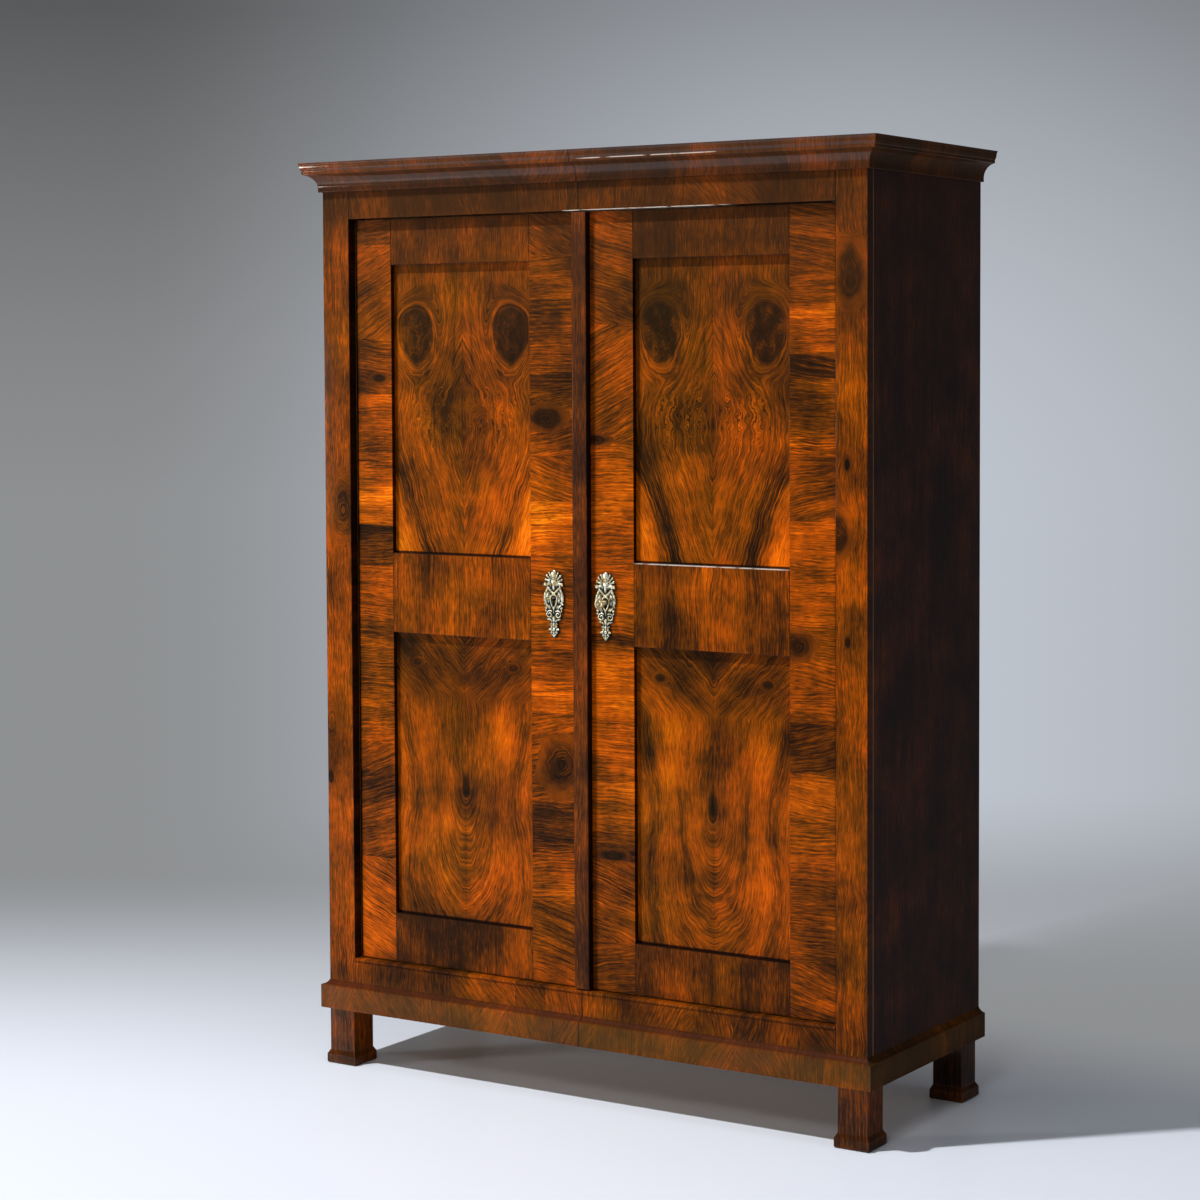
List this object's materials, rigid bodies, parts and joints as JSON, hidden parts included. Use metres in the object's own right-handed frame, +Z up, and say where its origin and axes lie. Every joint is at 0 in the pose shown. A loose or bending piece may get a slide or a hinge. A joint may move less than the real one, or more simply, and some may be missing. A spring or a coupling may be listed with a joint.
{
  "type": "two-door cupboard",
  "caption": "Free-standing wooden cupboard with two framed and panelled doors, a lock with its key, a hat shelf and a hanging rail, on square legs with block feet.",
  "frame": {"origin": "on the floor, under the middle of the bounding box", "axes": "+X to the right of someone facing the doors, +Y to the back, +Z up"},
  "size_m": [1.368, 0.522, 1.908],
  "materials": {
    "panel_veneer": "figured walnut veneer, glossy",
    "door_veneer": "cross-grained walnut veneer, glossy",
    "front_veneer": "walnut veneer, glossy",
    "moulding_wood": "walnut, glossy",
    "side_veneer": "dark walnut, polished",
    "inner_softwood": "plain planed softwood",
    "turned_beech": "turned and waxed",
    "cast_brass": "cast, worn silvery gilt",
    "key_steel": "filed and nickel-plated",
    "iron": "dark wrought iron"
  },
  "bodies": {
    "carcase": {"back_boards": "inner_softwood", "base_back_rails": "inner_softwood", "bottom_board_left": "inner_softwood", "bottom_board_right": "inner_softwood", "bottom_rail_left": "front_veneer", "bottom_rail_right": "front_veneer", "centre_battens": "inner_softwood", "cornice_front_left": "moulding_wood", "cornice_front_right": "moulding_wood", "cornice_side_left": "moulding_wood", "cornice_side_right": "moulding_wood", "frieze_left": "front_veneer", "frieze_right": "front_veneer", "hanging_rail": "turned_beech", "hat_shelf": "inner_softwood", "joining_bolts": "iron", "leg_back_left": "moulding_wood", "leg_back_right": "moulding_wood", "leg_front_left": "moulding_wood", "leg_front_right": "moulding_wood", "pivot_sockets": "iron", "plinth_front_left": "moulding_wood", "plinth_front_right": "moulding_wood", "plinth_side_left": "moulding_wood", "plinth_side_right": "moulding_wood", "rail_cups": "iron", "shelf_battens": "inner_softwood", "side_left": "side_veneer", "side_right": "side_veneer", "stile_left": "front_veneer", "stile_right": "front_veneer", "top_board_left": "inner_softwood", "top_board_right": "inner_softwood"},
    "left_door": {"left_door_bottom_rail": "door_veneer", "left_door_hinge_stile": "door_veneer", "left_door_lock_stile": "door_veneer", "left_door_lower_panel": "panel_veneer", "left_door_middle_rail": "door_veneer", "left_door_pivots": "iron", "left_door_top_rail": "door_veneer", "left_door_upper_panel": "panel_veneer", "left_escutcheon": "cast_brass", "lock_keep": "iron", "lower_bolt_guide": "iron", "upper_bolt_guide": "iron"},
    "right_door": {"closing_strip": "door_veneer", "lock_case": "iron", "right_door_bottom_rail": "door_veneer", "right_door_hinge_stile": "door_veneer", "right_door_lock_stile": "door_veneer", "right_door_lower_panel": "panel_veneer", "right_door_middle_rail": "door_veneer", "right_door_pivots": "iron", "right_door_top_rail": "door_veneer", "right_door_upper_panel": "panel_veneer", "right_escutcheon": "cast_brass"},
    "upper_bolt": {"upper_bolt": "iron"},
    "lower_bolt": {"lower_bolt": "iron"},
    "lock_bolt": {"lock_bolt": "iron"},
    "key": {"key": "key_steel"}
  },
  "joints": [
    {"name": "left_door_swing", "type": "hinge", "parent": "carcase", "child": "left_door", "pos_m": [-0.565, -0.195, 1], "axis": [0, 0, -1], "range_deg": [0, 90]},
    {"name": "right_door_swing", "type": "hinge", "parent": "carcase", "child": "right_door", "pos_m": [0.565, -0.195, 1], "axis": [0, 0, 1], "range_deg": [0, 90]},
    {"name": "key_turn", "type": "hinge", "parent": "right_door", "child": "key", "pos_m": [0.0525, -0.2, 1.013], "axis": [0, -1, 0], "range_deg": [0, 360]},
    {"name": "lock_bolt_slide", "type": "slide", "parent": "right_door", "child": "lock_bolt", "axis": [-1, 0, 0], "range_m": [0, 0.01]},
    {"name": "upper_bolt_slide", "type": "slide", "parent": "left_door", "child": "upper_bolt", "axis": [0, 0, 1], "range_m": [0, 0.015]},
    {"name": "lower_bolt_slide", "type": "slide", "parent": "left_door", "child": "lower_bolt", "axis": [0, 0, -1], "range_m": [0, 0.015]}
  ],
  "couplings": [
    {"joint": "key_turn", "follows": "lock_bolt_slide", "rad_per_m": 628.3}
  ]
}
